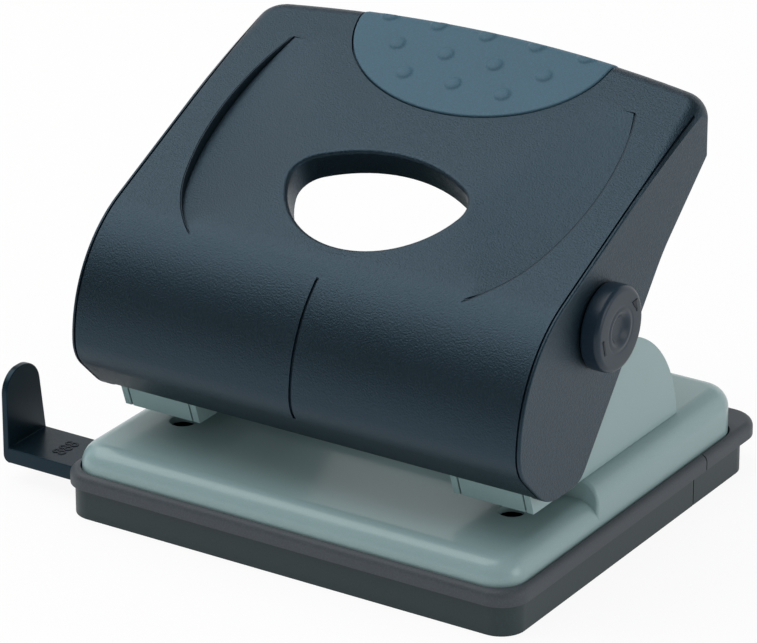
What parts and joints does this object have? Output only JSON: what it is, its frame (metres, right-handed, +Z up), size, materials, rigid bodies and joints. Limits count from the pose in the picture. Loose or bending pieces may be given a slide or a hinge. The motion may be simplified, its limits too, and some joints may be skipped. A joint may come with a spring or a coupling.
{
  "type": "two-hole desk punch",
  "caption": "Desk paper punch: sloping plastic hood with an oval hole and rubber grip, lock knob, steel base, chip drawer and sliding paper guide.",
  "frame": {"origin": "on the desk, under the middle of the base", "axes": "+X along the line of holes to the knob's side, +Y from the paper side to the rear, +Z up"},
  "size_m": [0.132, 0.1026, 0.092],
  "materials": {
    "handle_plastic": "fine moulded texture, dark slate",
    "grip_rubber": "soft matt rubber, blue grey",
    "knob_plastic": "fine moulded texture, dark slate",
    "silver_paint": "satin silver-green paint on pressed steel",
    "tray_plastic": "satin dark grey plastic",
    "guide_plastic": "smooth dark blue plastic",
    "plain_steel": "turned bright steel",
    "pin_steel": "ground tool steel",
    "spring_steel": "bright spring wire"
  },
  "bodies": {
    "base": {"chip_tray": "tray_plastic", "base_plate": "silver_paint", "left_bracket": "silver_paint", "right_bracket": "silver_paint", "bracket_rivets": "plain_steel", "pivot_axle": "plain_steel", "axle_rings": "plain_steel", "left_guide_bush": "plain_steel", "right_guide_bush": "plain_steel", "left_return_spring": "spring_steel", "right_return_spring": "spring_steel", "guide_leaf_spring": "spring_steel"},
    "handle": {"handle_cover": "handle_plastic", "grip_pad": "grip_rubber", "press_bar": "plain_steel", "press_bar_rings": "plain_steel"},
    "left_pin": {"left_punch_pin": "pin_steel", "left_spring_ring": "plain_steel"},
    "right_pin": {"right_punch_pin": "pin_steel", "right_spring_ring": "plain_steel"},
    "guide": {"paper_guide": "guide_plastic"},
    "drawer": {"chip_drawer": "tray_plastic"},
    "knob": {"lock_knob": "knob_plastic", "lock_washer": "plain_steel"},
    "lock": {"lock_pin": "plain_steel"}
  },
  "joints": [
    {"name": "handle_press", "type": "hinge", "parent": "base", "child": "handle", "pos_m": [0, -0.037, 0.041], "axis": [-1, 0, 0], "range_deg": [0, 36], "stiffness_Nm_per_rad": 0.6, "springref_deg": -28.65},
    {"name": "left_pin_slide", "type": "slide", "parent": "base", "child": "left_pin", "axis": [0, 0, -1], "range_m": [0, 0.0076], "deforming": ["left_return_spring"]},
    {"name": "right_pin_slide", "type": "slide", "parent": "base", "child": "right_pin", "axis": [0, 0, -1], "range_m": [0, 0.0076], "deforming": ["right_return_spring"]},
    {"name": "guide_slide", "type": "slide", "parent": "base", "child": "guide", "axis": [-1, 0, 0], "range_m": [-0.017, 0.074]},
    {"name": "drawer_slide", "type": "slide", "parent": "base", "child": "drawer", "axis": [0, 1, 0], "range_m": [0, 0.06]},
    {"name": "knob_turn", "type": "hinge", "parent": "handle", "child": "knob", "pos_m": [0.0535, -0.0146, 0.0553], "axis": [1, 0, 0], "range_deg": [0, 90]},
    {"name": "lock_slide", "type": "slide", "parent": "handle", "child": "lock", "axis": [-1, 0, 0], "range_m": [0, 0.0024]}
  ],
  "couplings": [
    {"joint": "left_pin_slide", "follows": "handle_press", "m_per_rad": 0.011894},
    {"joint": "right_pin_slide", "follows": "handle_press", "m_per_rad": 0.011894},
    {"joint": "lock_slide", "follows": "knob_turn", "m_per_rad": 0.0015}
  ]
}
